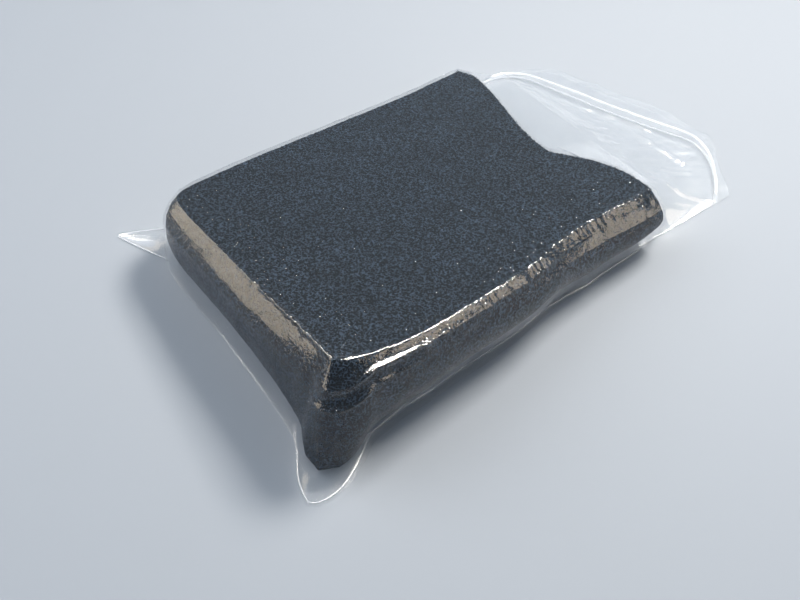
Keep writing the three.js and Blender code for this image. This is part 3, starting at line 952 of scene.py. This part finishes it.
# Folds pressed into the mouth's film: plan points, height in mm, half width in mm.
MOUTH_FOLDS = [
    ([(265, -28), (266, -42), (266, -53), (267, -63), (269, -76), (270, -85), (281, -84)], 2.4, 1.5),
    ([(241, -81), (252, -89), (267, -97)], 1.7, 1.2),
    ([(241, -81), (238, -93), (235, -107)], 1.5, 1.2),
    ([(226, -100), (237, -110), (247, -120), (262, -132)], 1.7, 1.3),
    ([(211, 119), (221, 99), (236, 74), (244, 54), (253, 34), (262, 16), (268, 1), (276, -18),
      (282, -33)], 1.6, 1.9),
    ([(214, 94), (230, 55), (240, 30), (252, 2)], 0.8, 3.0),
]
COLUMNS = 240  # columns of the mouth's film, from front to back
HINGE_FRONT, HINGE_BACK, HINGE_RISE = -130, 132, 34  # the hinge line's ends and how soon it rises, in mm
MOUTH_SAG = 5.0  # how far the film hangs between the hinge and the zip, in mm
FOLD_START = 18  # past the hinge, in mm, where the folds have their full height
MOUTH_LOW = 1.6  # the lowest that a fold goes, in mm


def far_from(points, line):
    """Distance in plan of each point from a line."""
    p = np.asarray(points, float)[:, None, :2]
    a, b = np.asarray(line[:-1], float)[None], np.asarray(line[1:], float)[None]
    d = b - a
    t = np.clip(((p - a) * d).sum(axis=2) / (d * d).sum(axis=2), 0, 1)
    return np.linalg.norm(p - (a + d * t[:, :, None]), axis=2).min(axis=1)


def mouth_lines():
    """The film's lines across the mouth: the pad's end, the hinge, the zip and the lip."""
    grid, _, _ = film_grid()
    top = mouth_top_line(grid[0, 0], grid[0, -1], 110)
    end = resampled(np.vstack([grid[::-1, 0][:-1], top, grid[:, -1][1:]]), COLUMNS)
    t = np.linspace(0, 1, COLUMNS)
    y = HINGE_FRONT + (HINGE_BACK - HINGE_FRONT) * t
    rise = smooth((y - HINGE_FRONT) / HINGE_RISE) * smooth((HINGE_BACK - y) / HINGE_RISE)
    hinge = np.column_stack([np.full(COLUMNS, HINGE_X), y, FILM_FOOT + (HINGE_Z - FILM_FOOT) * rise])
    bow = np.sin(np.pi * t) ** 0.7
    zip_points = np.column_stack([spline(ZIP_LINE, COLUMNS), 2.4 + 6.5 * bow])
    lip_points = np.column_stack([spline(LIP_LINE, COLUMNS), 1.6 + 5.5 * bow])
    return end, hinge, zip_points, lip_points


def between(first, last, count, sag=0.0):
    """Rows of points from one line to another, which sag where they are well above the floor."""
    s = np.linspace(0, 1, count)[:, None, None]
    grid = (1 - s) * first[None] + s * last[None]
    grid[:, :, 2] -= sag * np.sin(np.pi * s[:, :, 0]) * smooth((grid[:, :, 2] - 4) / 16)
    return grid


def fold_mouth(grid):
    """Folds, wrinkles that run to the zip's ends, and slow billows, over a grid of the mouth's film."""
    flat = grid.reshape(-1, 3)
    lift = np.zeros(len(flat))
    jitter = waves(flat, 11.0, 50) * 1.2
    for line, height, width in MOUTH_FOLDS:
        lift += height * np.exp(-((far_from(flat, line) + 0.5 * jitter) / width) ** 2)
    lift += 1.6 * waves(flat * np.array([0.45, 1.0, 1.0]), 22.0, 51)
    pulled = flat[:, 1] + 0.55 * (flat[:, 0] - 250)
    lift += 0.7 * waves(np.column_stack([flat[:, 0] * 0.2, pulled, flat[:, 2] * 0]), 8.0, 52, 2)
    edge = smooth((flat[:, 0] - HINGE_X) / FOLD_START)
    grid[:, :, 2] += (lift * edge).reshape(grid.shape[:2])
    grid[:, :, 2] = np.maximum(grid[:, :, 2], MOUTH_LOW)
    return grid


@listed
class BAGFILTER_OT_mouth(bpy.types.Operator):
    """The film past the pad, over the zip and out to the lip"""
    bl_idname = "bagfilter.mouth"
    bl_label = "Mouth film"

    def execute(self, context):
        end, hinge, zip_points, lip_points = mouth_lines()
        root = between(end, hinge, 12)
        film = mesh_object("film_past_pad", placed(root.reshape(-1, 3)), grid_faces(*root.shape[:2]),
                           material("loose_film"))
        face_up(film)
        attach(film, "bag")
        to_zip, to_lip = between(hinge, zip_points, 40, MOUTH_SAG), between(zip_points, lip_points, 12)
        mouth = fold_mouth(np.concatenate([to_zip, to_lip[1:]]))
        half = COLUMNS // 2
        for name, part, side in (("front", mouth[:, :half + 1], -1), ("back", mouth[:, half:], 1)):
            points, faces = placed(part.reshape(-1, 3)), grid_faces(*part.shape[:2])
            piece = mesh_object("mouth_film_" + name, points, faces, material("loose_film"))
            face_up(piece)
            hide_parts("mouth_upper_film")
            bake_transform(piece)
        return {"FINISHED"}


# How far the lower film lies past the upper film's foot, as (place, mm).
LOWER_BEYOND = [(0, 2), (0.3, 3), (0.6, 8), (0.95, 8), (1.0, 3), (1.05, 0.6), (1.95, 0.6), (2.0, 3),
                (2.1, 6), (3.0, 5)]


@listed
class BAGFILTER_OT_lower_film(bpy.types.Operator):
    """The film that the pad rests on, out to the lower lip, with its corners"""
    bl_idname = "bagfilter.lower_film"
    bl_label = "Lower film"

    def execute(self, context):
        _, outward, place = outline(FILM_SIDES)
        grid, _, _ = film_grid()
        beyond = np.interp(place, *zip(*LOWER_BEYOND))
        foot = grid[-1][:, :2] + outward * beyond[:, None]
        n = FILM_SIDES
        lip = spline([(x + 0.5, y) for x, y in LIP_LINE], n[1] + 1)
        front = spline(np.vstack([lip[:1], foot[:n[0] + 1]]), 200)
        closed = foot[n[0]:n[0] + n[1] + 1]
        back = spline(np.vstack([foot[n[0] + n[1]:], lip[-1:]]), 200)
        flat = patch(front, closed, back, lip[::-1])
        z = 0.5 + 0.35 * waves(np.concatenate([flat, flat[:, :, :1] * 0], axis=2).reshape(-1, 3), 18.0, 60)
        flat = np.concatenate([flat, z.reshape(flat.shape[:2] + (1,))], axis=2)
        film = mesh_object("film_under_pad", placed(flat.reshape(-1, 3)), grid_faces(*flat.shape[:2]),
                           material("loose_film"))
        face_up(film)
        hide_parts("bag_lower_film", "corner_ear_front", "corner_ear_back", "mouth_side_fold_front",
                    "mouth_side_fold_back")
        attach(film, "bag")
        return {"FINISHED"}


def swept(name, line, profile, look):
    """A closed strip along a line of points: the profile is a ring of (across, up) corners in mm."""
    tangent = np.gradient(line, axis=0)
    tangent /= np.linalg.norm(tangent, axis=1, keepdims=True)
    across = np.stack([tangent[:, 1], -tangent[:, 0], np.zeros(len(line))], axis=1)
    across /= np.linalg.norm(across, axis=1, keepdims=True)
    up = np.cross(across, tangent)
    up *= np.sign(up[:, 2:])
    points = np.array([p + across[i] * a + up[i] * u for i, p in enumerate(line) for a, u in profile])
    n = len(profile)
    faces = [(i * n + c, i * n + (c + 1) % n, (i + 1) * n + (c + 1) % n, (i + 1) * n + c)
             for i in range(len(line) - 1) for c in range(n)]
    faces += [tuple(range(n)), tuple(range((len(line) - 1) * n, len(line) * n))]
    return weld_and_turn_out(mesh_object(name, placed(points), faces, material(look)))


def bead(centre, radius, low, corners=8):
    """Corners of a half round ridge that stands on a flat strip."""
    turns = [math.pi * k / corners for k in range(corners + 1)]
    return [(centre - radius * math.cos(turn), low + radius * math.sin(turn)) for turn in turns]


def at_height(points, z):
    """The same plan points, all at one height."""
    return np.column_stack([points[:, :2], np.full(len(points), z)])


# Cross sections, as rings of (across, up) corners in mm, and the height of each strip's line in mm.
RIB = bead(-0.8, 0.4, 0.1) + bead(0.8, 0.4, 0.1) + [(1.4, 0.0), (1.4, -0.3), (-1.4, -0.3), (-1.4, 0.0)]
CHANNEL = bead(-0.5, 0.35, 0.0) + bead(0.5, 0.35, 0.0) + [(1.0, -0.4), (-1.0, -0.4)]
ZIP_END = [(-1.9, -0.5), (1.9, -0.5), (1.9, 0.4), (-1.9, 0.4)]
WELD = bead(0.0, 0.5, 0.0, 6) + [(0.5, -0.4), (-0.5, -0.4)]
EAR_BORDER = bead(0.0, 0.45, 0.0, 6) + [(0.45, -0.4), (-0.45, -0.4)]
RIB_ABOVE, CHANNEL_AT, ZIP_END_AT, WELD_AT = 0.9, 1.4, 2.0, 1.3
CRUSHED = 8  # steps of the zip that are crushed flat at each end


@listed
class BAGFILTER_OT_zip(bpy.types.Operator):
    """The zip's rib and channel and the welded edges"""
    bl_idname = "bagfilter.zip"
    bl_label = "Zip and welds"

    def execute(self, context):
        _, _, zip_points, _ = mouth_lines()
        half = COLUMNS // 2
        rib_line = zip_points + np.array([0, 0, RIB_ABOVE])
        halves = (("front", rib_line[CRUSHED:half + 1], -1), ("back", rib_line[half:-CRUSHED], 1))
        for name, part, side in halves:
            piece = swept("zip_rib_" + name, part, RIB, "zip")
            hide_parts("zip_rib")
            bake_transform(piece)
        channel_line = at_height(zip_points[CRUSHED:-CRUSHED], CHANNEL_AT)
        channel = swept("zip_channel_strip", channel_line, CHANNEL, "zip")
        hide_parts("zip_channel")
        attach(channel, "bag")
        for name, part in (("front", zip_points[:CRUSHED + 1]), ("back", zip_points[-CRUSHED - 1:])):
            end = swept("zip_end_" + name, at_height(part, ZIP_END_AT), ZIP_END, "zip")
            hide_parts("zip_end_weld_" + name)
            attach(end, "bag")
        self.edge_welds(zip_points)
        return {"FINISHED"}

    @staticmethod
    def edge_welds(zip_points):
        """The weld along each long edge, from the zip to the ear, and the border round each ear."""
        grid, _, place = film_grid()
        foot = at_height(grid[-1], WELD_AT)
        front = np.vstack([at_height(zip_points[:1], WELD_AT), foot[place < 0.985]])
        back = np.vstack([foot[place > 2.02], at_height(zip_points[-1:], WELD_AT)])
        for name, line in (("front", front), ("back", back)):
            line = spline(line[::3], 260)
            line[:, :2] += 0.5 * waves(line, 24.0, 70)[:, None]
            weld = swept("weld_line_" + name, line, WELD, "weld")
            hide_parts("side_weld_" + name)
            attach(weld, "bag")
        for name, (middle, width, _) in zip(("front", "back"), EARS):
            border = foot[np.abs(place - middle) < width * 1.15]
            fold = swept("ear_border_" + name, border, EAR_BORDER, "weld")
            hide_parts("corner_ear_" + name)
            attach(fold, "bag")


class BAGFILTER_PT_panel(bpy.types.Panel):
    """The pieces of the bagged filter"""
    bl_idname = "BAGFILTER_PT_panel"
    bl_label = "Bagged Filter"
    bl_space_type = "VIEW_3D"
    bl_region_type = "UI"
    bl_category = "Bagged Filter"

    def draw(self, context):
        for operator in Ops.order:
            self.layout.operator(operator.bl_idname)


GROUPS = (("bag_foam", FoamSizes), ("bag_film", FilmSizes), ("bag_stage", StageSizes))


def register():
    for name, group in GROUPS:
        bpy.utils.register_class(group)
        setattr(bpy.types.Scene, name, bpy.props.PointerProperty(type=group))
    for operator in Ops.order:
        bpy.utils.register_class(operator)
    bpy.utils.register_class(BAGFILTER_PT_panel)


def unregister():
    bpy.utils.unregister_class(BAGFILTER_PT_panel)
    for operator in reversed(Ops.order):
        bpy.utils.unregister_class(operator)
    for name, group in reversed(GROUPS):
        delattr(bpy.types.Scene, name)
        bpy.utils.unregister_class(group)


def main():
    register()
    bpy.ops.bagfilter.stage()
    bpy.ops.bagfilter.foam()
    bpy.ops.bagfilter.struts()
    bpy.ops.bagfilter.film_over()
    bpy.ops.bagfilter.mouth()
    bpy.ops.bagfilter.lower_film()
    bpy.ops.bagfilter.zip()


if __name__ == "__main__":
    main()
